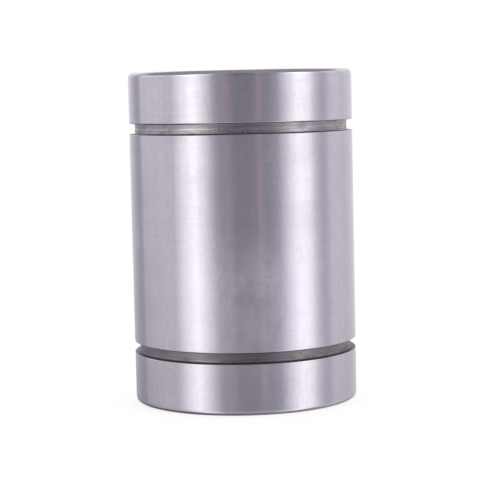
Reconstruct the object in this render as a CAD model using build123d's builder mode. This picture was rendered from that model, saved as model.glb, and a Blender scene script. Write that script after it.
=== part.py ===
from build123d import *
import os
from math import atan2, cos, degrees, floor, hypot, radians, sin, sqrt

# A sealed linear ball bearing. It stands on its lower end face, with its bore along +Z.
# Six closed circuits of balls run in the cage: one row of each carries the shaft,
# the other brings the balls back, and a half turn at each end joins the two.
# All sizes are in millimetres, all angles in degrees.

# Shaft and balls
shaft_diameter = 25.0
ball_diameter = 3.969
ball_gap = 0.131
circuit_count = 6
raceway_clearance = 0.02
channel_clearance = 0.12

# Outer sleeve: the wall behind the raceway brings the outside to 40 mm
sleeve_length = 59.0
sleeve_wall = 3.511
end_round = 0.9
mouth_chamfer = 0.3

# Retaining ring grooves round the outside: the inset leaves 41 mm over the pair
ring_groove_inset = 9.0
ring_groove_width = 1.85
ring_groove_depth = 1.0
groove_lip_round = 0.2
groove_floor_round = 0.2

# Relief turned in the bore where the balls change rows
relief_extra_depth = 0.1
relief_end_room = 0.5
run_in_length = 1.2

# Seat bored in each end for the side ring, the seal and the snap ring
seat_step = 0.15
seat_clearance = 0.05
side_ring_thickness = 1.2
side_ring_shaft_gap = 0.9
seal_thickness = 2.5
snap_ring_thickness = 1.2
snap_ring_inset = 1.3
snap_ring_width = 1.5
snap_ring_gap = 9.0
snap_ring_tip_round = 0.4
snap_groove_depth = 0.6
snap_groove_clearance = 0.1

# Rubber seal
seal_rim_width = 2.7
seal_web_thickness = 1.1
seal_lip_setback = 0.5
seal_lip_land = 0.8
seal_lip_thickness = 0.65
seal_lip_flare = 0.8
seal_back_gap = 0.7

# Resin cage
cage_shaft_gap = 0.4
cage_bore_clearance = 0.1
cage_end_play = 0.2
cage_end_wall = 1.5
cage_edge_bevel = 0.3
track_clearance = 0.06

# Two balls stand in each half turn, a quarter turn apart, so its radius follows the pitch
turn_ball_angles = (45, 135)
pick = 0.01

shaft_radius = shaft_diameter / 2
ball_radius = ball_diameter / 2
ball_pitch = ball_diameter + ball_gap
turn_radius = ball_pitch / sqrt(2)
row_spacing = 2 * turn_radius

# Each circuit is flat and square to the radius through its loaded row
load_row_radius = shaft_radius + ball_radius
return_row_radius = hypot(load_row_radius, row_spacing)
return_row_angle = degrees(atan2(row_spacing, load_row_radius))
circuit_angle = 360 / circuit_count

raceway_radius = load_row_radius + ball_radius + raceway_clearance
channel_radius = ball_radius + channel_clearance
relief_radius = return_row_radius + channel_radius + relief_extra_depth
seat_radius = relief_radius + seat_step
snap_groove_radius = seat_radius + snap_groove_depth
outer_radius = raceway_radius + sleeve_wall
groove_floor_radius = outer_radius - ring_groove_depth

# Levels of the end pieces, counted from the lower end face
seal_level = snap_ring_inset + snap_ring_thickness
side_ring_level = seal_level + seal_thickness
seat_depth = side_ring_level + side_ring_thickness
seat_piece_radius = seat_radius - seat_clearance
snap_groove_level = snap_ring_inset - snap_groove_clearance

# The rows hold as many balls as fit between the end walls of the cage
cage_level = seat_depth + cage_end_play
cage_length = sleeve_length - 2 * cage_level
cage_inner_radius = shaft_radius + cage_shaft_gap
cage_outer_radius = raceway_radius - cage_bore_clearance
track_radius = ball_radius + track_clearance
turn_reach = turn_radius + track_radius + cage_end_wall
row_balls = floor((cage_length - 2 * turn_reach) / ball_pitch)
row_length = row_balls * ball_pitch
middle_level = sleeve_length / 2
lower_turn_level = middle_level - row_length / 2
upper_turn_level = middle_level + row_length / 2
relief_reach = turn_radius + ball_radius + relief_end_room


def finish(piece, name):
    """Label a finished piece and write it under its own name."""
    piece.part.label = name
    export_step(piece.part, f"parts/{name}.step")


def finish_pair(piece, name):
    """Write an end piece for the lower end, and its mirror image for the upper end."""
    finish(piece, "lower_" + name)
    with BuildPart() as upper_piece:
        mirror(piece.part, about=Plane.XY.offset(middle_level))
    finish(upper_piece, "upper_" + name)


def corners_at(section, radius):
    """The corners of a half section that lie at one radius, from the lower end up."""
    return section.vertices().filter_by_position(Axis.X, radius - pick, radius + pick).sort_by(Axis.Y)


os.makedirs("parts", exist_ok=True)

# Outer sleeve, turned from one steel tube
with BuildPart() as outer_sleeve:
    with BuildSketch(Plane.XZ) as sleeve_section:
        with Locations((raceway_radius, 0)):
            Rectangle(sleeve_wall, sleeve_length, align=(Align.MIN, Align.MIN))
        for groove_level in (ring_groove_inset, sleeve_length - ring_groove_inset - ring_groove_width):
            with Locations((groove_floor_radius, groove_level)):
                Rectangle(ring_groove_depth, ring_groove_width, align=(Align.MIN, Align.MIN), mode=Mode.SUBTRACT)
        for end_level, inward in ((0, 1), (sleeve_length, -1)):
            seat_middle = end_level + inward * seat_depth / 2
            with Locations((raceway_radius, seat_middle)):
                Rectangle(
                    seat_radius - raceway_radius, seat_depth,
                    align=(Align.MIN, Align.CENTER), mode=Mode.SUBTRACT,
                )
            snap_groove_middle = end_level + inward * (snap_groove_level + seal_level) / 2
            with Locations((seat_radius, snap_groove_middle)):
                Rectangle(
                    snap_groove_depth, seal_level - snap_groove_level,
                    align=(Align.MIN, Align.CENTER), mode=Mode.SUBTRACT,
                )
        for turn_level, outward in ((lower_turn_level, -1), (upper_turn_level, 1)):
            Polygon(
                (raceway_radius, turn_level),
                (relief_radius, turn_level + outward * run_in_length),
                (relief_radius, turn_level + outward * relief_reach),
                (raceway_radius, turn_level + outward * relief_reach),
                align=None, mode=Mode.SUBTRACT,
            )
        end_corners = corners_at(sleeve_section, outer_radius)
        fillet([end_corners[0], end_corners[-1]], end_round)
        lips = corners_at(sleeve_section, outer_radius)
        lips = lips.filter_by_position(Axis.Y, ring_groove_inset - pick, sleeve_length - ring_groove_inset + pick)
        fillet(lips, groove_lip_round)
        fillet(corners_at(sleeve_section, groove_floor_radius), groove_floor_round)
        mouths = corners_at(sleeve_section, seat_radius)
        chamfer([mouths[0], mouths[-1]], mouth_chamfer)
    revolve(axis=Axis.Z)
    # Channels broached from end to end take the balls back behind the raceway
    with BuildSketch(Plane.XY):
        with PolarLocations(return_row_radius, circuit_count, start_angle=return_row_angle):
            Circle(channel_radius)
    extrude(amount=sleeve_length, mode=Mode.SUBTRACT)
finish(outer_sleeve, "outer_sleeve")

# One closed tunnel for a circuit of balls: round inside, and open towards the sleeve.
# The cage bore breaks into it along the loaded row as a slot narrower than a ball.
with BuildPart() as ball_track:
    with BuildSketch(Plane.XY.offset(lower_turn_level)):
        with Locations((load_row_radius, 0), (load_row_radius, row_spacing)):
            Circle(track_radius)
            Rectangle(sleeve_wall, 2 * track_radius, align=(Align.MIN, Align.CENTER))
    extrude(amount=row_length)
    for turn_level, turning in ((lower_turn_level, 1), (upper_turn_level, -1)):
        with BuildSketch(Plane.XY.offset(turn_level)):
            with Locations((load_row_radius, 0)):
                Circle(track_radius)
                Rectangle(sleeve_wall, 2 * track_radius, align=(Align.MIN, Align.CENTER))
        revolve(axis=Axis((0, turn_radius, turn_level), (turning, 0, 0)), revolution_arc=180)

# Cage, moulded in one piece round the six tunnels
with BuildPart() as ball_cage:
    with BuildSketch(Plane.XY.offset(cage_level)):
        Circle(cage_outer_radius)
        Circle(cage_inner_radius, mode=Mode.SUBTRACT)
    extrude(amount=cage_length)
    chamfer(ball_cage.edges().filter_by(GeomType.CIRCLE), cage_edge_bevel)
    with PolarLocations(0, circuit_count):
        add(ball_track.part, mode=Mode.SUBTRACT)
finish(ball_cage, "ball_cage")

# Side ring: a flat washer that keeps the cage between the ends of the bore
with BuildPart() as side_ring:
    with BuildSketch(Plane.XY.offset(side_ring_level)):
        Circle(seat_piece_radius)
        Circle(shaft_radius + side_ring_shaft_gap, mode=Mode.SUBTRACT)
    extrude(amount=side_ring_thickness)
finish_pair(side_ring, "side_ring")

# Seal: a rubber ring whose lip wipes the shaft, with a trough between lip and rim
seal_web_level = side_ring_level - seal_web_thickness
lip_level = seal_level + seal_lip_setback
lip_radius = shaft_radius + seal_lip_thickness
with BuildPart() as seal:
    with BuildSketch(Plane.XZ):
        Polygon(
            (seat_piece_radius, seal_level),
            (seat_piece_radius, side_ring_level),
            (shaft_radius + seal_back_gap, side_ring_level),
            (shaft_radius, lip_level + seal_lip_land),
            (shaft_radius, lip_level),
            (lip_radius, lip_level),
            (lip_radius + seal_lip_flare, seal_web_level),
            (seat_piece_radius - seal_rim_width, seal_web_level),
            (seat_piece_radius - seal_rim_width, seal_level),
            align=None,
        )
    revolve(axis=Axis.Z)
finish_pair(seal, "seal")

# Snap ring: an open spring ring that stands in its groove and holds the seal in
snap_ring_radius = snap_groove_radius - seat_clearance
with BuildPart() as snap_ring:
    with BuildSketch(Plane.XY.offset(snap_ring_inset)) as ring_outline:
        Circle(snap_ring_radius)
        Circle(snap_ring_radius - snap_ring_width, mode=Mode.SUBTRACT)
        with Locations((0, snap_ring_radius)):
            Rectangle(snap_ring_gap, snap_ring_radius, mode=Mode.SUBTRACT)
        fillet(ring_outline.vertices(), snap_ring_tip_round)
    extrude(amount=snap_ring_thickness)
finish_pair(snap_ring, "snap_ring")


def ball_group(name, angle, places):
    """Balls of one row or half turn, as loose spheres, in the circuit at the given angle."""
    with BuildPart() as balls:
        with Locations(Location((0, 0, 0), (0, 0, angle))):
            with Locations(*places):
                Sphere(ball_radius)
    finish(balls, name)


def row_places(across):
    """Ball centres of one straight row, half a pitch in from both half turns."""
    first_level = lower_turn_level + ball_pitch / 2
    return [(load_row_radius, across, first_level + place * ball_pitch) for place in range(row_balls)]


def turn_places(turn_level, outward):
    """Ball centres of one half turn between the rows."""
    places = []
    for angle in turn_ball_angles:
        across = turn_radius - turn_radius * cos(radians(angle))
        level = turn_level + outward * turn_radius * sin(radians(angle))
        places.append((load_row_radius, across, level))
    return places


# Balls: each circuit has a loaded row, a returning row and two half turns
for circuit in range(circuit_count):
    angle = circuit * circuit_angle
    number = circuit + 1
    ball_group(f"load_balls_{number}", angle, row_places(0))
    ball_group(f"return_balls_{number}", angle, row_places(row_spacing))
    ball_group(f"lower_turn_balls_{number}", angle, turn_places(lower_turn_level, -1))
    ball_group(f"upper_turn_balls_{number}", angle, turn_places(upper_turn_level, 1))
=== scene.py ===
from math import atan2, cos, degrees, hypot, pi, radians, sin, sqrt

import bpy
from mathutils import Matrix, Vector


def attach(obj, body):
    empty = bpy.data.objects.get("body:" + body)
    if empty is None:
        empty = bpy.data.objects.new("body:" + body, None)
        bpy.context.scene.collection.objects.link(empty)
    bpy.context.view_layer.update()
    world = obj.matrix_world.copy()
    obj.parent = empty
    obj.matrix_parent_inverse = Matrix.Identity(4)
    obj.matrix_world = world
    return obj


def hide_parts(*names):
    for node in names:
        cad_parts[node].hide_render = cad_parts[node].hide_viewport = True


# A sealed linear ball bearing on a pale floor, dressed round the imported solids.
# The ground sleeve, the rubber seals and the spring rings are modelled here with
# their fine rounds; the cage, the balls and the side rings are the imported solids.
# Sizes are written in millimetres and turned into metres with mm.

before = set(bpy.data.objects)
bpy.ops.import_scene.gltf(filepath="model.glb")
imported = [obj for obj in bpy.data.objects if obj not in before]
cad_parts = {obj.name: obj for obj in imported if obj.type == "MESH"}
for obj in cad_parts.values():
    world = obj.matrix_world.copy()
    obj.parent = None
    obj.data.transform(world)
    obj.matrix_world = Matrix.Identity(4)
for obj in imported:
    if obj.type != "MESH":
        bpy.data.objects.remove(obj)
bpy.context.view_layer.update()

mm = 0.001
full_turn = 2 * pi

# Shaft, balls and the circuits they run in
shaft_radius = 12.5
ball_diameter = 3.969
ball_gap = 0.131
row_balls = 8
circuit_count = 6
raceway_clearance = 0.02
channel_clearance = 0.12

# Ground sleeve, with two grooves outside and a relief in the bore where the balls turn
sleeve_length = 59.0
sleeve_radius = 20.0
end_round = 0.9
mouth_chamfer = 0.3
groove_inset = 9.0
groove_width = 1.85
groove_depth = 1.0
groove_round = 0.2
relief_extra_depth = 0.1
relief_end_room = 0.5
run_in_length = 1.2

# Seat in each end: from the mouth inwards it holds the spring ring, the seal and the side ring
seat_step = 0.15
seat_clearance = 0.05
ring_inset = 1.3
ring_thickness = 1.2
ring_width = 1.5
ring_gap = 9.0
ring_tip_round = 0.4
ring_edge_bevel = 0.1
ring_groove_depth = 0.6
ring_groove_clearance = 0.1
seal_thickness = 2.5
side_ring_thickness = 1.2

# Rubber seal
seal_rim_width = 2.7
seal_web_thickness = 1.1
seal_lip_setback = 0.5
seal_lip_land = 0.8
seal_lip_thickness = 0.65
seal_lip_flare = 0.8
seal_back_gap = 0.7

ball_radius = ball_diameter / 2
ball_pitch = ball_diameter + ball_gap
turn_radius = ball_pitch / sqrt(2)
row_spacing = 2 * turn_radius
load_row_radius = shaft_radius + ball_radius
return_row_radius = hypot(load_row_radius, row_spacing)
return_row_angle = degrees(atan2(row_spacing, load_row_radius))
circuit_angle = 360 / circuit_count
raceway_radius = load_row_radius + ball_radius + raceway_clearance
channel_radius = ball_radius + channel_clearance

groove_floor_radius = sleeve_radius - groove_depth
lower_groove = (groove_inset, groove_inset + groove_width)
upper_groove = (sleeve_length - lower_groove[1], sleeve_length - lower_groove[0])
turn_level = (sleeve_length - row_balls * ball_pitch) / 2
relief_level = turn_level - turn_radius - ball_radius - relief_end_room
relief_radius = return_row_radius + channel_radius + relief_extra_depth

ring_level = ring_inset
seal_level = ring_level + ring_thickness
side_ring_level = seal_level + seal_thickness
seat_depth = side_ring_level + side_ring_thickness
ring_groove_level = ring_level - ring_groove_clearance
seat_radius = relief_radius + seat_step
ring_groove_radius = seat_radius + ring_groove_depth

# How finely the pieces are drawn
sleeve_steps = 288
ring_steps = 192
channel_steps = 48
end_round_steps = 8
lip_round_steps = 5
floor_round_steps = 4
tip_round_steps = 6
edge_bevel_steps = 2
smooth_angle = 35
bevel_angle = 60
flat_face_weight = 80

# Points nearer to each other than this are merged, and points nearer to a place are picked
merge_distance = 0.001
pick = 0.02


# Tools for modelling

def leave_edit():
    if bpy.context.object and bpy.context.object.mode != "OBJECT":
        bpy.ops.object.mode_set(mode="OBJECT")


def enter_edit(kind="VERT"):
    """Opens the active piece for editing by its points, edges or faces."""
    bpy.ops.object.mode_set(mode="EDIT")
    bpy.ops.mesh.select_mode(type=kind)


def clear_choice():
    leave_edit()
    bpy.ops.object.select_all(action="DESELECT")


def choose(piece):
    clear_choice()
    piece.select_set(True)
    bpy.context.view_layer.objects.active = piece


def pick_points(piece, wanted):
    """Opens a piece with the points selected where wanted(place in mm) holds, and counts them."""
    leave_edit()
    mesh = piece.data
    for face in mesh.polygons:
        face.select = False
    for edge in mesh.edges:
        edge.select = False
    count = 0
    for point in mesh.vertices:
        point.select = bool(wanted(point.co / mm))
        count += point.select
    enter_edit()
    return count


def draw_section(name, corners):
    """A closed half section in the XZ plane, drawn from corner to corner by extruding one point."""
    clear_choice()
    first = corners[0]
    bpy.ops.mesh.primitive_plane_add(size=mm, location=(0, 0, 0))
    piece = bpy.context.object
    piece.name = name
    enter_edit()
    bpy.ops.mesh.select_all(action="SELECT")
    bpy.ops.mesh.merge(type="CENTER")
    bpy.ops.transform.translate(value=(first[0] * mm, 0, first[1] * mm))
    for here, there in zip(corners, corners[1:]):
        step = ((there[0] - here[0]) * mm, 0, (there[1] - here[1]) * mm)
        bpy.ops.mesh.extrude_region_move(TRANSFORM_OT_translate={"value": step})
    bpy.ops.mesh.select_all(action="SELECT")
    bpy.ops.mesh.edge_face_add()
    return piece


def round_corners(piece, corners, size, steps):
    """Rounds those corners of a drawn section."""
    def wanted(place):
        return any(abs(place.x - r) < pick and abs(place.z - z) < pick for r, z in corners)

    found = pick_points(piece, wanted)
    if found != len(corners):
        raise ValueError(f"{piece.name}: {found} corners found of {len(corners)}")
    bpy.ops.mesh.bevel(offset=size * mm, segments=steps, affect="VERTICES")


def spin_section(piece, steps):
    """Turns a drawn section once round the bore axis into a closed body."""
    leave_edit()
    enter_edit()
    bpy.ops.mesh.select_all(action="SELECT")
    bpy.ops.mesh.delete(type="ONLY_FACE")
    bpy.ops.mesh.select_all(action="SELECT")
    bpy.ops.mesh.spin(steps=steps, angle=full_turn, center=(0, 0, 0), axis=(0, 0, 1))
    bpy.ops.mesh.select_all(action="SELECT")
    bpy.ops.mesh.remove_doubles(threshold=merge_distance * mm)
    bpy.ops.mesh.normals_make_consistent(inside=False)
    leave_edit()


def apply_modifiers(piece):
    choose(piece)
    for modifier in list(piece.modifiers):
        bpy.ops.object.modifier_apply(modifier=modifier.name)


def smooth(piece):
    """Smooth shading over gentle edges, with the large flat faces kept flat."""
    choose(piece)
    bpy.ops.object.shade_smooth_by_angle(angle=radians(smooth_angle), keep_sharp_edges=False)
    weights = piece.modifiers.new("even normals", "WEIGHTED_NORMAL")
    weights.keep_sharp = True
    weights.weight = flat_face_weight
    apply_modifiers(piece)


def cut_away(piece, cutter):
    """Takes the cutter out of the piece and removes the cutter."""
    cut = piece.modifiers.new("cut", "BOOLEAN")
    cut.operation = "DIFFERENCE"
    cut.solver = "EXACT"
    cut.object = cutter
    apply_modifiers(piece)
    bpy.data.objects.remove(cutter)


def at_end(end, corner):
    """A corner given for the lower end, at the lower end or mirrored to the upper one."""
    r, z = corner
    return (r, z) if end == "lower" else (r, sleeve_length - z)


# Tools for materials

# How far a dot's outline wanders, as a share of a cell, and how much finer than the
# cells the noise is that moves it
dot_wander = 0.12
dot_wander_scale = 6


class NodeTree:
    """A tree of shader nodes, and short ways to add nodes and join them."""

    def __init__(self, tree):
        self.nodes = tree.nodes
        self.links = tree.links

    def add(self, kind, **settings):
        node = self.nodes.new(kind)
        for key, value in settings.items():
            setattr(node, key, value)
        return node

    def put(self, socket, value):
        """Joins another node's output to a socket, or sets the socket to a plain value."""
        if hasattr(value, "is_linked"):
            self.links.new(value, socket)
        else:
            socket.default_value = value

    def math(self, operation, first, second=0.0, clamp=False):
        node = self.add("ShaderNodeMath", operation=operation, use_clamp=clamp)
        self.put(node.inputs[0], first)
        self.put(node.inputs[1], second)
        return node.outputs[0]

    def chain(self, operation, first, *others):
        for other in others:
            first = self.math(operation, first, other)
        return first

    def total(self, *values):
        return self.chain("ADD", *values)

    def times(self, *values):
        return self.chain("MULTIPLY", *values)

    def most(self, *values):
        return self.chain("MAXIMUM", *values)

    def minus(self, first, second):
        return self.math("SUBTRACT", first, second)

    def absolute(self, value):
        return self.math("ABSOLUTE", value)

    def mix_shaders(self, factor, first, second):
        node = self.add("ShaderNodeMixShader")
        for socket, value in zip(node.inputs, (factor, first, second)):
            self.put(socket, value)
        return node.outputs[0]

    def ray(self, kind):
        """1 for rays of that kind, 0 for the others."""
        return self.add("ShaderNodeLightPath").outputs[f"Is {kind} Ray"]


class Finish(NodeTree):
    """A material on the piece's own coordinates: patterns, and how they are laid on it."""

    def __init__(self, name, metallic=0.0):
        self.material = bpy.data.materials.new(name)
        self.material.use_nodes = True
        super().__init__(self.material.node_tree)
        self.shader = self.nodes["Principled BSDF"]
        self.place = self.add("ShaderNodeTexCoord").outputs["Object"]
        self.give("Metallic", metallic)

    def give(self, name, value):
        """Sets or joins an input of the main shader."""
        self.put(self.shader.inputs[name], value)

    def show(self, shader):
        """Shows another shader in place of the main one."""
        self.put(self.nodes["Material Output"].inputs["Surface"], shader)

    def lay_round_axis(self, amount):
        """The finish runs round the bore axis, so highlights stretch along the axis."""
        quarter_turn = 0.25
        self.give("Anisotropic", amount)
        self.give("Anisotropic Rotation", quarter_turn)
        around = self.add("ShaderNodeTangent", direction_type="RADIAL", axis="Z")
        self.give("Tangent", around.outputs["Tangent"])

    def coordinates(self):
        split = self.add("ShaderNodeSeparateXYZ")
        self.put(split.inputs[0], self.place)
        return split.outputs

    def stretch(self, scale, place=(0, 0, 0)):
        node = self.add("ShaderNodeMapping")
        self.put(node.inputs["Vector"], self.place)
        self.put(node.inputs["Scale"], scale)
        self.put(node.inputs["Location"], place)
        return node.outputs["Vector"]

    def noise_at(self, vector, scale=1.0, detail=2.0, rough=0.5):
        node = self.add("ShaderNodeTexNoise")
        self.put(node.inputs["Vector"], vector)
        self.put(node.inputs["Scale"], scale)
        self.put(node.inputs["Detail"], detail)
        self.put(node.inputs["Roughness"], rough)
        return node.outputs

    def noise(self, scale, place=(0, 0, 0), detail=2.0, rough=0.5):
        """Cloudy noise from 0 to 1; scale is the waves to a metre along X, Y and Z."""
        return self.noise_at(self.stretch(scale, place), detail=detail, rough=rough)["Fac"]

    def span(self, value, low, high, to_low=0.0, to_high=1.0, soft=False):
        """Maps low..high of a value onto to_low..to_high, and holds it at both ends."""
        kind = "SMOOTHSTEP" if soft else "LINEAR"
        node = self.add("ShaderNodeMapRange", interpolation_type=kind)
        self.put(node.inputs["Value"], value)
        self.put(node.inputs["From Min"], low)
        self.put(node.inputs["From Max"], high)
        self.put(node.inputs["To Min"], to_low)
        self.put(node.inputs["To Max"], to_high)
        return node.outputs["Result"]

    def blend(self, factor, first, second):
        node = self.add("ShaderNodeMix", data_type="RGBA", blend_type="MIX")
        self.put(node.inputs[0], factor)
        self.put(node.inputs[6], first)
        self.put(node.inputs[7], second)
        return node.outputs[2]

    def layers(self, colour, *coats):
        """Lays coats of colour over the first one, each as far as its share says."""
        for share, coat in coats:
            colour = self.blend(share, colour, coat)
        return colour

    def bump(self, height, distance, strength=1.0, under=None):
        """Raises the surface by a pattern; distance is in mm, and under is a bump below it."""
        node = self.add("ShaderNodeBump")
        self.put(node.inputs["Distance"], distance * mm)
        self.put(node.inputs["Strength"], strength)
        self.put(node.inputs["Height"], height)
        if under is not None:
            self.put(node.inputs["Normal"], under)
        return node.outputs["Normal"]

    def length(self, vector):
        node = self.add("ShaderNodeVectorMath", operation="LENGTH")
        self.put(node.inputs[0], vector)
        return node.outputs["Value"]

    def scaled(self, vector, factor):
        node = self.add("ShaderNodeVectorMath", operation="SCALE")
        self.put(node.inputs[0], vector)
        self.put(node.inputs["Scale"], factor)
        return node.outputs[0]

    def dots(self, scale, size, share):
        """Scattered uneven dots: 1 in a dot, 0 elsewhere. share is how many cells have one."""
        wander = self.noise_at(self.place, scale * dot_wander_scale, detail=3.0)["Color"]
        moved = self.add("ShaderNodeVectorMath", operation="ADD")
        self.put(moved.inputs[0], self.place)
        self.put(moved.inputs[1], self.scaled(wander, dot_wander / scale))
        cells = self.add("ShaderNodeTexVoronoi")
        self.put(cells.inputs["Vector"], moved.outputs[0])
        self.put(cells.inputs["Scale"], scale)
        chance = self.add("ShaderNodeSeparateColor")
        self.put(chance.inputs[0], cells.outputs["Color"])
        chosen = self.math("LESS_THAN", chance.outputs["Red"], share)
        return self.times(chosen, self.span(cells.outputs["Distance"], size, size / 2))

    def blot(self, centre, reach, ragged):
        """A soft blot at a place on the surface, broken up by noise; centre and reach are in mm."""
        scale = [1 / (r * mm) for r in reach]
        away = self.length(self.stretch(scale, [-c / r for c, r in zip(centre, reach)]))
        torn = self.noise((ragged, ragged, ragged * 0.6), detail=3)
        return self.times(self.span(away, 1.0, 0.45, soft=True), self.span(torn, 0.4, 0.62))

    def bands(self, levels, reach, core):
        """Bands round the axis: full within core mm of each level, gone past reach mm."""
        z = self.coordinates()[2]
        band = 0.0
        for level, amount in levels:
            off = self.absolute(self.minus(z, level * mm))
            band = self.most(band, self.span(off, reach * mm, core * mm, 0.0, amount))
        return band


# Colours of the sleeve's steel
steel_pale = (0.567, 0.532, 0.621, 1)
steel_rosy = (0.592, 0.528, 0.623, 1)
steel_shade = (0.53, 0.49, 0.572, 1)
steel_smudge = (0.49, 0.452, 0.525, 1)
steel_painted_glint = (0.72, 0.69, 0.76, 1)
steel_filmed = (0.585, 0.512, 0.648, 1)
groove_ring_light = (0.34, 0.304, 0.352, 1)
groove_ring_dark = (0.265, 0.235, 0.274, 1)
groove_lower_painted_shade = (0.139, 0.12, 0.143, 1)
groove_corner_painted_shadow = (0.07, 0.064, 0.066, 1)
groove_soil = (0.17, 0.153, 0.155, 1)
groove_dust = (0.14, 0.128, 0.125, 1)
groove_painted_highlight = (0.5, 0.475, 0.5, 1)
groove_speck = (0.06, 0.055, 0.057, 1)
groove_glint = (0.62, 0.6, 0.6, 1)
groove_ledge_painted_shade = (0.08, 0.073, 0.076, 1)
faced_pale = (0.52, 0.495, 0.53, 1)
faced_dull = (0.44, 0.42, 0.44, 1)

# Marks of handling on the sleeve: each is a blot's centre and reach in mm and how
# finely it is broken up, and a scuff also has its strength
scuffs = (
    ((9.5, -17.6, 27.2), (0.9, 0.9, 2.6), 900, 0.9),
    ((12.3, -15.8, 37.2), (0.6, 0.6, 0.7), 900, 0.9),
    ((-4.4, -19.5, 23.4), (3.2, 2.0, 3.2), 420, 0.55),
    ((-6.3, -19.0, 30.0), (2.2, 1.6, 3.2), 420, 0.5),
    ((-18.6, -7.4, 31.0), (1.2, 1.2, 5.0), 900, 0.8),
)
# A patch of fine pits whose dots are painted bright as glints
glint_pit_patch = ((5.1, -19.3, 43.0), (1.8, 1.8, 6.0), 500)
# A patch in the upper groove with dark grit specks and painted glints
grit_and_glint_patch = ((-2.2, -18.9, 48.1), (5.0, 5.0, 2.2), 900)

# A film of oil lies on the front, thick near one level: how far up and down, and how
# far to the sides, it is thin and where it is thick, in mm
film_level = 19.5
film_heights = (14.0, 3.0)
film_sides = (13.5, 6.0)
film_thin = 0.12

# Levels in the grooves where the floor is smoother and painted lighter as a highlight line, and how
# much
highlight_line_levels = ((9.32, 0.3), (48.6, 0.4), (49.05, 0.75))


def oil_film(f):
    """The film of oil, patchy and thickest on the front near film_level."""
    x, y, z = f.coordinates()
    thick = 1.0
    for off, (thin_from, thick_to) in (
        (f.minus(z, film_level * mm), film_heights),
        (x, film_sides),
    ):
        off = f.absolute(off)
        near = f.span(off, thin_from * mm, thick_to * mm, film_thin, 1.0, soft=True)
        thick = f.times(thick, near)
    broad = f.span(f.noise((85, 85, 70), (3.0, 0.5, 0.0), detail=3), 0.2, 0.5)
    blots = f.span(f.noise((360, 360, 260), (0.7, 0.0, 0.3), detail=5, rough=0.7), 0.4, 0.6)
    return f.times(thick, f.total(f.times(broad, 0.55), f.times(blots, 0.6)))


def ground_steel():
    """Bearing steel ground round the axis: fine marks, pits, smudges and faint streaks, with
    painted glints on some of the pits.
    """
    f = Finish("ground sleeve steel", metallic=1.0)
    f.lay_round_axis(0.95)
    smudges = f.span(f.noise((95, 95, 150), detail=2, rough=0.4), 0.5, 0.7, soft=True)
    streaks = f.noise((520, 520, 7), detail=4, rough=0.7)
    marks = f.noise((60, 60, 4200), detail=5, rough=0.75)
    passes = f.noise((22, 22, 1100), detail=3, rough=0.6)
    grain = f.noise((1000, 1000, 620), detail=4, rough=0.75)
    tinge = f.span(f.noise((170, 170, 120), (2.0, 0.0, 5.0), detail=5, rough=0.65), 0.38, 0.62)
    film = oil_film(f)
    scuffed = 0.0
    for centre, reach, ragged, strength in scuffs:
        scuffed = f.most(scuffed, f.times(f.blot(centre, reach, ragged), strength))
    # Pits in the patch and sparse ones all over, coloured as a painted glint
    pits_and_painted_glints = f.times(f.blot(*glint_pit_patch), f.dots(2300, 0.3, 0.85))
    pits_and_painted_glints = f.most(pits_and_painted_glints, f.dots(640, 0.09, 0.2))
    pits = f.most(f.dots(420, 0.05, 0.35), f.dots(850, 0.08, 0.5), pits_and_painted_glints)
    colour = f.layers(
        f.blend(tinge, steel_pale, steel_rosy),
        (f.span(streaks, 0.36, 0.66), steel_shade),
        (f.span(passes, 0.5, 0.75, 0.0, 0.16), steel_smudge),
        (f.span(marks, 0.48, 0.72, 0.0, 0.5), steel_smudge),
        (f.span(grain, 0.42, 0.68, 0.0, 0.6), steel_smudge),
        (f.times(smudges, 0.4), steel_smudge),
        (f.times(scuffed, 0.8), steel_smudge),
        (pits_and_painted_glints, steel_painted_glint),
        (film, steel_filmed),
    )
    f.give("Base Color", colour)
    rough = f.span(marks, 0.3, 0.7, 0.215, 0.245)
    f.give("Roughness", f.total(
        f.times(smudges, 0.04), rough, f.times(scuffed, 0.1), f.times(pits, 0.45),
    ))
    ground = f.bump(passes, 0.0012, under=f.bump(marks, 0.003))
    f.give("Normal", f.bump(pits, 0.003, 0.5, ground))
    f.give("Coat Roughness", 0.6)
    f.give("Coat IOR", 2.5)
    f.give("Coat Weight", f.most(film, scuffed, pits))
    return f.material


def rounded_steel():
    """The rounded corners and groove lips, tumbled smooth after turning."""
    f = Finish("rounded corner steel", metallic=1.0)
    f.lay_round_axis(0.3)
    nicks = f.dots(1100, 0.16, 0.22)
    wear = f.noise((300, 300, 300), detail=4)
    f.give("Base Color", f.blend(f.span(wear, 0.4, 0.7), steel_pale, steel_shade))
    f.give("Roughness", f.total(f.span(wear, 0.3, 0.7, 0.13, 0.19), f.times(nicks, 0.2)))
    f.give("Normal", f.bump(nicks, 0.006, 0.7))
    return f.material


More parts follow.
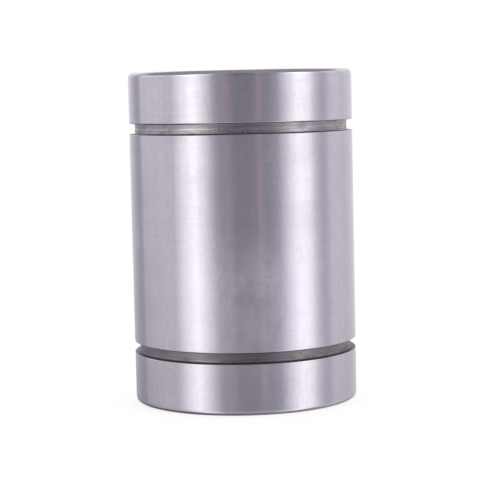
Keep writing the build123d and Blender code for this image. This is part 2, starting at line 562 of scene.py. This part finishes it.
def turned_steel():
    """The grooves as the tool left them: darker, ringed, with oil and dust caught in them, and with
    painted highlight lines, painted glints and painted shade in the lower groove and along the
    groove edges.
    """
    f = Finish("turned groove steel", metallic=1.0)
    f.lay_round_axis(0.3)
    z = f.coordinates()[2]
    rings = f.noise((25, 25, 5200), detail=3, rough=0.6)
    soil = f.noise((260, 260, 900), detail=5, rough=0.7)
    dust = f.noise((1500, 1500, 2200), detail=2)
    # Painted highlight lines along the groove floors, where they are also smoother
    smooth_highlight_lines = f.bands(highlight_line_levels, reach=0.17, core=0.05)
    smooth_highlight_lines = f.times(smooth_highlight_lines, f.span(soil, 0.62, 0.42))
    # Painted shadow on the lower groove's floor under its upper wall
    corner = f.bands([(lower_groove[1], 0.5)], reach=0.4, core=0.2)
    # Painted shade in a thin line at the lower edge of each groove
    ledge_shade_bands = f.bands([(lower_groove[0], 1.0), (upper_groove[0], 1.0)], reach=0.14, core=0.06)
    grit_and_glint_blot = f.blot(*grit_and_glint_patch)
    specks = f.times(grit_and_glint_blot, f.dots(3200, 0.48, 0.7))
    # Painted glints: bright dots in the gritty patch, beside the grit's dark specks
    glints = f.times(grit_and_glint_blot, f.dots(2800, 0.32, 0.45))
    # Between these two heights the look goes over from the upper groove's to the lower one's, which
    # is rougher and painted darker as shade
    upper_look = 20 * mm
    lower_look = 10 * mm
    colour = f.layers(
        groove_ring_light,
        (f.span(rings, 0.35, 0.65), groove_ring_dark),
        (f.span(z, upper_look, lower_look, 0.0, 0.5), groove_lower_painted_shade),
        (corner, groove_corner_painted_shadow),
        (f.span(soil, 0.48, 0.78), groove_soil),
        (f.span(dust, 0.64, 0.74), groove_dust),
        (smooth_highlight_lines, groove_painted_highlight),
        (f.times(specks, 0.8), groove_speck),
        (glints, groove_glint),
        (f.times(ledge_shade_bands, 0.4), groove_ledge_painted_shade),
    )
    f.give("Base Color", colour)
    rough = f.total(
        f.span(soil, 0.35, 0.7, 0.28, 0.42),
        f.span(z, upper_look, lower_look, 0.0, 0.1),
    )
    f.give("Roughness", f.minus(rough, f.times(smooth_highlight_lines, 0.12)))
    f.give("Normal", f.bump(rings, 0.002))
    return f.material


def faced_steel():
    """End faces, seats and bore: ground across, a little duller than the outside."""
    f = Finish("faced end steel", metallic=1.0)
    f.lay_round_axis(0.4)
    x, y, z = f.coordinates()
    radius = f.math("SQRT", f.total(f.times(x, x), f.times(y, y)))
    lay = f.add("ShaderNodeCombineXYZ")
    marks_per_metre = 5200
    f.put(lay.inputs[0], f.times(radius, marks_per_metre))
    f.put(lay.inputs[1], f.times(z, marks_per_metre))
    marks = f.noise_at(lay.outputs[0], detail=3.0)["Fac"]
    broad = f.noise((160, 160, 160), detail=3)
    f.give("Base Color", f.blend(f.span(broad, 0.35, 0.7), faced_pale, faced_dull))
    f.give("Roughness", f.span(broad, 0.3, 0.7, 0.3, 0.4))
    f.give("Normal", f.bump(marks, 0.0015))
    return f.material


def ball_chrome():
    """Lapped balls: bright, with the faintest smears of grease."""
    f = Finish("lapped ball steel", metallic=1.0)
    bright = (0.74, 0.735, 0.75, 1)
    greased = (0.66, 0.64, 0.62, 1)
    smears = f.noise((700, 700, 700), detail=4, rough=0.6)
    f.give("Base Color", f.blend(f.span(smears, 0.45, 0.75), bright, greased))
    f.give("Roughness", f.span(smears, 0.35, 0.75, 0.07, 0.2))
    return f.material


def washer_steel():
    """Stamped washer: cold-rolled sheet with a grain across it."""
    f = Finish("stamped washer steel", metallic=1.0)
    pale = (0.46, 0.455, 0.46, 1)
    dull = (0.4, 0.395, 0.4, 1)
    soiled = (0.3, 0.29, 0.28, 1)
    grain = f.noise((260, 3600, 3600), detail=3)
    soil = f.noise((300, 300, 300), detail=4)
    colour = f.layers(
        pale,
        (f.span(grain, 0.35, 0.65), dull),
        (f.span(soil, 0.5, 0.8), soiled),
    )
    f.give("Base Color", colour)
    f.give("Roughness", f.span(soil, 0.3, 0.7, 0.3, 0.45))
    f.give("Normal", f.bump(grain, 0.0015))
    return f.material


def spring_steel():
    """Oil-blackened spring steel, worn brighter in patches."""
    f = Finish("oiled spring steel", metallic=0.9)
    blackened = (0.115, 0.115, 0.125, 1)
    worn = (0.27, 0.26, 0.26, 1)
    wear = f.noise((520, 520, 900), detail=5, rough=0.65)
    fine = f.noise((4000, 4000, 4000), detail=2)
    f.give("Base Color", f.blend(f.span(wear, 0.52, 0.72), blackened, worn))
    f.give("Roughness", f.span(wear, 0.4, 0.7, 0.42, 0.3))
    f.give("Normal", f.bump(fine, 0.002))
    return f.material


def cage_resin():
    """Natural moulded resin: matt, slightly cloudy, with a fine spark-eroded grain."""
    f = Finish("moulded cage resin")
    cream = (0.74, 0.7, 0.6, 1)
    tan = (0.68, 0.635, 0.53, 1)
    cloud = f.noise((220, 220, 140), detail=3)
    grain = f.noise((5200, 5200, 5200), detail=2)
    f.give("Base Color", f.blend(f.span(cloud, 0.35, 0.7), cream, tan))
    f.give("Roughness", f.span(grain, 0.3, 0.7, 0.42, 0.55))
    f.give("Subsurface Weight", 0.15)
    f.give("Subsurface Scale", 0.6 * mm)
    f.give("Subsurface Radius", (1.0, 0.8, 0.5))
    f.give("Normal", f.bump(grain, 0.003))
    return f.material


def seal_rubber():
    """Black nitrile rubber with a dusty bloom and a fine moulded grain."""
    f = Finish("moulded seal rubber")
    black = (0.026, 0.026, 0.028, 1)
    bloomed = (0.05, 0.05, 0.052, 1)
    bloom = f.noise((380, 380, 380), detail=5, rough=0.6)
    grain = f.noise((6000, 6000, 6000), detail=2)
    f.give("Base Color", f.blend(f.span(bloom, 0.45, 0.75), black, bloomed))
    f.give("Roughness", f.span(bloom, 0.35, 0.7, 0.42, 0.58))
    f.give("Normal", f.bump(grain, 0.004))
    return f.material


# Outer sleeve: one turned body, drawn as its half section and spun round the axis

def sleeve_outline():
    """The corners of the sleeve's half section, up the outside and down the bore."""
    outside = [(sleeve_radius, 0)]
    for low, high in (lower_groove, upper_groove):
        outside += [
            (sleeve_radius, low), (groove_floor_radius, low),
            (groove_floor_radius, high), (sleeve_radius, high),
        ]
    outside.append((sleeve_radius, sleeve_length))
    lower_half = [
        (raceway_radius, turn_level),
        (relief_radius, turn_level - run_in_length),
        (relief_radius, relief_level),
        (raceway_radius, relief_level),
        (raceway_radius, seat_depth),
        (seat_radius, seat_depth),
        (seat_radius, seal_level),
        (ring_groove_radius, seal_level),
        (ring_groove_radius, ring_groove_level),
        (seat_radius, ring_groove_level),
        (seat_radius, mouth_chamfer),
        (seat_radius + mouth_chamfer, 0),
    ]
    upper_half = [at_end("upper", corner) for corner in reversed(lower_half)]
    return outside, upper_half + lower_half


def make_sleeve():
    """The turned tube with its outer grooves, and the return channels broached through it."""
    outside, inside = sleeve_outline()
    piece = draw_section("ground_sleeve", outside + inside)
    ends = [outside[0], outside[-1]]
    lips = [corner for corner in outside[1:-1] if corner[0] == sleeve_radius]
    floors = [corner for corner in outside if corner[0] == groove_floor_radius]
    round_corners(piece, ends, end_round, end_round_steps)
    round_corners(piece, lips, groove_round, lip_round_steps)
    round_corners(piece, floors, groove_round, floor_round_steps)
    spin_section(piece, sleeve_steps)
    past_end = 1.0
    for circuit in range(circuit_count):
        angle = radians(return_row_angle + circuit * circuit_angle)
        centre = Vector((cos(angle), sin(angle), 0)) * return_row_radius * mm
        centre.z = sleeve_length / 2 * mm
        clear_choice()
        bpy.ops.mesh.primitive_cylinder_add(
            vertices=channel_steps, radius=channel_radius * mm,
            depth=(sleeve_length + 2 * past_end) * mm, location=centre,
        )
        cut_away(piece, bpy.context.object)
    smooth(piece)
    return piece


def paint_sleeve(piece, finishes):
    """Gives each zone of the sleeve its finish by where its faces are."""
    for material in finishes:
        piece.data.materials.append(material)
    outside, groove, ends, rounds = range(4)
    groove_start = groove_inset - groove_round
    groove_end = groove_inset + groove_width + groove_round
    floor_line = groove_floor_radius - 0.1
    lip_line = sleeve_radius - 0.05
    face_line = sleeve_radius - end_round
    for face in piece.data.polygons:
        centre = face.center / mm
        radius = hypot(centre.x, centre.y)
        from_end = min(centre.z, sleeve_length - centre.z)
        if groove_start < from_end < groove_end and radius > floor_line:
            zone = groove if radius < lip_line else rounds
        elif from_end < end_round and radius > face_line:
            zone = rounds
        elif radius < face_line:
            zone = ends
        else:
            zone = outside
        face.material_index = zone


steel_finishes = (ground_steel(), turned_steel(), faced_steel(), rounded_steel())
sleeve = make_sleeve()
paint_sleeve(sleeve, steel_finishes)
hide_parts("outer_sleeve")
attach(sleeve, "sleeve_and_cage")

# Seals: a rubber ring each, with a rounded lip and a trough between lip and rim
seal_radius = seat_radius - seat_clearance
seal_rim_radius = seal_radius - seal_rim_width
seal_web_level = side_ring_level - seal_web_thickness
seal_lip_level = seal_level + seal_lip_setback
seal_lip_radius = shaft_radius + seal_lip_thickness
seal_corners = {
    "rim outside": (seal_radius, seal_level),
    "back outside": (seal_radius, side_ring_level),
    "back inside": (shaft_radius + seal_back_gap, side_ring_level),
    "land back": (shaft_radius, seal_lip_level + seal_lip_land),
    "land front": (shaft_radius, seal_lip_level),
    "lip top": (seal_lip_radius, seal_lip_level),
    "trough inside": (seal_lip_radius + seal_lip_flare, seal_web_level),
    "trough outside": (seal_rim_radius, seal_web_level),
    "rim inside": (seal_rim_radius, seal_level),
}

# Which corners are rounded together, by how much and in how many steps
seal_rounds = (
    (("rim outside", "rim inside"), 0.25, 4),
    (("trough inside", "trough outside"), 0.3, 4),
    (("lip top",), 0.2, 3),
    (("land front",), 0.1, 3),
    (("back outside", "back inside"), 0.15, 3),
)


def make_seal(end):
    """The rubber seal of one end."""
    corners = {name: at_end(end, corner) for name, corner in seal_corners.items()}
    piece = draw_section(f"{end}_rubber_seal", list(corners.values()))
    for names, size, steps in seal_rounds:
        round_corners(piece, [corners[name] for name in names], size, steps)
    spin_section(piece, ring_steps)
    smooth(piece)
    return piece


rubber = seal_rubber()
for end in ("lower", "upper"):
    seal = make_seal(end)
    seal.data.materials.append(rubber)
    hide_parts(f"{end}_seal")
    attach(seal, "sleeve_and_cage")

# Spring rings: a stamped open ring each, with rounded tips and its edges broken
ring_outer = ring_groove_radius - seat_clearance
ring_inner = ring_outer - ring_width
ring_corners = (
    (ring_inner, ring_level), (ring_outer, ring_level),
    (ring_outer, seal_level), (ring_inner, seal_level),
)

# The block that cuts the gap reaches well past the ring inwards, outwards, up and down
gap_cutter = (ring_gap, 6.0, 4.0)


def round_tips(ring):
    """Rounds the four upright edges beside the gap."""
    pick_points(ring, lambda place: abs(abs(place.x) - ring_gap / 2) < pick and place.y > 0)
    bpy.ops.mesh.select_mode(type="EDGE")
    leave_edit()
    for edge in ring.data.edges:
        here, there = (ring.data.vertices[i].co / mm for i in edge.vertices)
        edge.select = edge.select and abs(here.z - there.z) > ring_thickness / 2
    enter_edit("EDGE")
    bpy.ops.mesh.bevel(offset=ring_tip_round * mm, segments=tip_round_steps, affect="EDGES")
    leave_edit()


def make_ring(end):
    """The spring ring of one end, open on the +Y side."""
    ring = draw_section(f"{end}_spring_ring", [at_end(end, corner) for corner in ring_corners])
    spin_section(ring, ring_steps)
    clear_choice()
    level = at_end(end, (0, (ring_level + seal_level) / 2))[1]
    bpy.ops.mesh.primitive_cube_add(
        size=mm, location=(0, ring_outer * mm, level * mm), scale=gap_cutter,
    )
    cut_away(ring, bpy.context.object)
    choose(ring)
    round_tips(ring)
    broken = ring.modifiers.new("broken edges", "BEVEL")
    broken.width = ring_edge_bevel * mm
    broken.segments = edge_bevel_steps
    broken.limit_method = "ANGLE"
    broken.angle_limit = radians(bevel_angle)
    apply_modifiers(ring)
    smooth(ring)
    return ring


springy = spring_steel()
for end in ("lower", "upper"):
    ring = make_ring(end)
    ring.data.materials.append(springy)
    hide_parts(f"{end}_snap_ring")
    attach(ring, "sleeve_and_cage")

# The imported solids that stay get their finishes, by a word in their names
finishes = {
    "ball_cage": cage_resin(),
    "side_ring": washer_steel(),
    "balls": ball_chrome(),
}
for name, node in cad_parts.items():
    for word, material in finishes.items():
        if word in name:
            for slot in node.material_slots:
                slot.material = material

# Floor: white to the eye but for a faint shadow round the foot, and whiter still far
# away. The metal mirrors it faintly, with a painted contact shadow under the sleeve, a
# dark glow seen only in the metal and lighter to the right. Reaches are in mm from the
# axis, and floor_metres is its side.
floor_metres = 12
floor_white = (0.9, 0.9, 0.9, 1)
shadow_reach = (19.5, 24.0)
shadow_white = (0.77, 0.94)
far_reach = (24.0, 300.0)
far_gain = 0.06
# The painted contact shadow: its reach, colour, and strength from left to right
contact_shadow_reach = (20.5, 20.0)
contact_shadow_paint = (0.17, 0.165, 0.17, 1)
contact_shadow_sides = (-10.0, 16.0)
contact_shadow_strength = (1.15, 2.6)
floor_in_metal = 0.2
floor_clear = 0.88


def pale_floor():
    """The floor's paper, which lets the tent show through it in the metal, and a painted contact
    shadow seen only in the metal near the foot.
    """
    f = Finish("pale floor")
    f.give("Base Color", floor_white)
    f.give("Roughness", 0.8)
    reach = f.length(f.place)
    x = f.coordinates()[0]
    seen = f.total(
        f.span(reach, shadow_reach[0] * mm, shadow_reach[1] * mm, *shadow_white),
        f.span(reach, far_reach[0] * mm, far_reach[1] * mm, 0.0, far_gain),
    )
    mirrored = f.most(f.ray("Glossy"), f.ray("Transmission"))
    whitened = f.math(
        "ADD", f.times(f.ray("Camera"), seen), f.times(mirrored, floor_in_metal), clamp=True,
    )
    glow = f.add("ShaderNodeEmission").outputs[0]
    clear = f.add("ShaderNodeBsdfTransparent").outputs[0]
    # A dark glow near the foot, seen only in the metal: a painted contact shadow
    dark = f.add("ShaderNodeEmission")
    strength = f.span(x, contact_shadow_sides[0] * mm, contact_shadow_sides[1] * mm, *contact_shadow_strength)
    f.put(dark.inputs["Color"], contact_shadow_paint)
    f.put(dark.inputs["Strength"], strength)
    contact_shadow_share = f.span(reach, contact_shadow_reach[0] * mm, contact_shadow_reach[1] * mm)
    paper = f.mix_shaders(whitened, f.shader.outputs[0], glow)
    paper = f.mix_shaders(f.times(f.ray("Glossy"), floor_clear), paper, clear)
    f.show(f.mix_shaders(f.times(f.ray("Glossy"), contact_shadow_share), paper, dark.outputs[0]))
    return f.material


clear_choice()
bpy.ops.mesh.primitive_plane_add(size=floor_metres, location=(0, 0, 0))
floor = bpy.context.object
floor.name = "floor"
floor.data.materials.append(pale_floor())

# A light tent round the bearing, seen only in the metal. Bearings are in degrees
# from the camera's side, positive towards +X, and each has the shade of grey there.
plain = (1.0, 1.0, 1.0)
cool = (0.96, 0.985, 1.06)
warm = (1.17, 0.95, 0.98)
rosy = (1.11, 0.965, 0.99)
lit = (0.99, 1.03, 0.95)
tent_shades = (
    (-180, 0.9, plain), (-156, 0.88, plain), (-143, 0.72, cool), (-136, 0.58, cool),
    (-128, 0.55, cool), (-121, 1.07, plain), (-85, 1.08, plain), (-75, 0.97, plain),
    (-63, 1.74, lit), (-49, 2.28, lit), (-39, 1.36, lit), (-26, 0.45, cool),
    (-19, 0.34, plain), (-15, 0.37, rosy), (-11, 0.33, rosy), (-8, 0.24, cool),
    (6, 0.225, cool), (14.5, 0.25, cool), (17, 0.385, warm), (20, 0.385, warm),
    (22.5, 0.27, cool), (37, 0.42, cool), (48, 1.2, plain), (60, 2.04, lit),
    (71, 1.95, lit), (82, 1.0, plain), (89, 0.7, cool), (96, 0.68, cool),
    (101, 0.94, plain), (110, 1.02, plain), (128, 0.9, plain), (180, 0.88, plain),
)

# Low down the tent darkens in steps to both sides: each step starts at one bearing, is
# full at the next and holds beyond it. A negative step gives some of the light back.
low_shades = (
    (-33, -44, 0.06), (-44, -75, 0.3), (-80, -122, 0.22), (-123, -129, -0.12),
    (-138, -146, 0.12), (64, 80, 0.07), (88, 118, 0.12),
)
low_angles = (3, -14)
haze_angles = (4, -22)
haze_share = 0.4
haze_shade = (0.6, 0.6, 0.62, 1)

# Away from the level of the bearing the shades get lighter
lift_angles = (10, 32)
lift = 1.3

# The ceiling's edge is a height on a tent of radius 1, and hangs lower to both sides
ceiling_shade = (0.44, 0.44, 0.44, 1)
ceiling_edge = 0.7
ceiling_blur = 0.06
edge_fall_left = -0.38
edge_fall_right = 0.5
edge_fall_right_most = 0.23
under_shade = (0.14, 0.14, 0.14, 1)
under_angles = (-58, -74)

# The tent is a ball of cloth, with its radius in metres
tent_radius = 2.0
tent_segments = 96
tent_rings = 48


def heights(angles):
    """Heights on a tent of radius 1 at angles above its floor."""
    return [sin(radians(angle)) for angle in angles]


def tent_cloth():
    """The tent's shades: a ring of greys with a ceiling above and a dark floor below."""
    f = Finish("tent cloth")
    x, y, z = f.coordinates()
    height = f.math("DIVIDE", z, tent_radius)
    side = f.math("DIVIDE", x, tent_radius)
    bearing = f.math("ARCTAN2", x, f.times(y, -1.0))
    ramp = f.add("ShaderNodeValToRGB")
    f.put(ramp.inputs[0], f.span(bearing, -pi, pi))
    stops = ramp.color_ramp.elements
    while len(stops) < len(tent_shades):
        stops.new(0.5)
    for stop, (angle, shade, tint) in zip(stops, tent_shades):
        stop.position = (angle + 180) / 360
        stop.color = [shade * part for part in tint] + [1]
    hazy = f.span(height, *heights(haze_angles), 0.0, haze_share)
    shade = f.blend(hazy, ramp.outputs["Color"], haze_shade)

    darker = 0.0
    for start, full, amount in low_shades:
        darker = f.total(darker, f.span(bearing, radians(start), radians(full), 0.0, amount))
    darker = f.times(darker, f.span(height, *heights(low_angles), soft=True))
    lighter = f.span(f.absolute(height), *heights(lift_angles), 1.0, lift, soft=True)
    shade = f.scaled(shade, f.times(lighter, f.minus(1.0, darker)))

    fall_right = f.math("MINIMUM", f.times(side, edge_fall_right), edge_fall_right_most)
    edge = f.minus(ceiling_edge, f.most(f.times(side, edge_fall_left), fall_right))
    above = f.span(f.minus(height, edge), 0.0, ceiling_blur, soft=True)
    below = f.span(height, *heights(under_angles), soft=True)
    glow = f.add("ShaderNodeEmission")
    f.put(glow.inputs["Color"], f.layers(shade, (above, ceiling_shade), (below, under_shade)))
    f.show(glow.outputs[0])
    f.material.cycles.emission_sampling = "NONE"
    return f.material


clear_choice()
bpy.ops.mesh.primitive_uv_sphere_add(
    segments=tent_segments, ring_count=tent_rings, radius=tent_radius, location=(0, 0, 0),
)
tent = bpy.context.object
tent.name = "light_tent"
tent.data.materials.append(tent_cloth())
tent.visible_camera = False
tent.visible_diffuse = False
tent.visible_shadow = False
tent.visible_volume_scatter = False

# Surroundings: plain white to the eye and in metal, a dim cool sky for everything else
sky_white = (1, 1, 1, 1)
sky_cool = (0.97, 0.97, 1.0, 1)
sky_strength = 0.55
world = bpy.data.worlds.new("plain studio")
bpy.context.scene.world = world
world.use_nodes = True
sky = NodeTree(world.node_tree)
white = sky.add("ShaderNodeBackground")
sky.put(white.inputs["Color"], sky_white)
dim = sky.nodes["Background"]
sky.put(dim.inputs["Color"], sky_cool)
sky.put(dim.inputs["Strength"], sky_strength)
in_sight = sky.most(sky.ray("Camera"), sky.ray("Glossy"), sky.ray("Transmission"))
shown = sky.mix_shaders(in_sight, dim.outputs[0], white.outputs[0])
sky.put(sky.nodes["World Output"].inputs["Surface"], shown)

# Soft lamps that the metal doesn't mirror: name, place and size in metres, power in watts
soft_lamps = (
    ("left_lamp", (-0.7, -0.6, 0.6), 0.5, 4.0),
    ("right_lamp", (0.8, -0.4, 0.6), 0.5, 4.0),
    ("top_lamp", (0.0, 0.2, 1.0), 0.6, 5.0),
    ("back_lamp", (0.1, 0.9, 0.5), 0.5, 3.0),
)
lamp_target = Vector((0, 0, 0.03))
for name, place, size, power in soft_lamps:
    clear_choice()
    bpy.ops.object.light_add(type="AREA", location=place)
    lamp = bpy.context.object
    lamp.name = name
    lamp.data.shape = "SQUARE"
    lamp.data.size = size
    lamp.data.energy = power
    aim = lamp_target - Vector(place)
    lamp.rotation_euler = aim.to_track_quat("-Z", "Y").to_euler()
    lamp.visible_glossy = False

# Camera, at the photograph's viewing angle
camera_place = (0, -308.73 * mm, 55.233 * mm)
camera_pitch = radians(5.0755)
camera_roll = radians(1.2864)
camera_yaw = radians(0.0247)
camera_lens = 126.31
camera_sensor = 36
camera_near = 0.01
clear_choice()
bpy.ops.object.camera_add(location=camera_place)
camera = bpy.context.object
turned = (
    Matrix.Rotation(-camera_yaw, 4, "Z")
    @ Matrix.Rotation(radians(90) - camera_pitch, 4, "X")
    @ Matrix.Rotation(-camera_roll, 4, "Z")
)
camera.rotation_euler = turned.to_euler()
camera.data.sensor_width = camera_sensor
camera.data.lens = camera_lens
camera.data.clip_start = camera_near
bpy.context.scene.camera = camera

bpy.context.scene.view_settings.view_transform = "Standard"
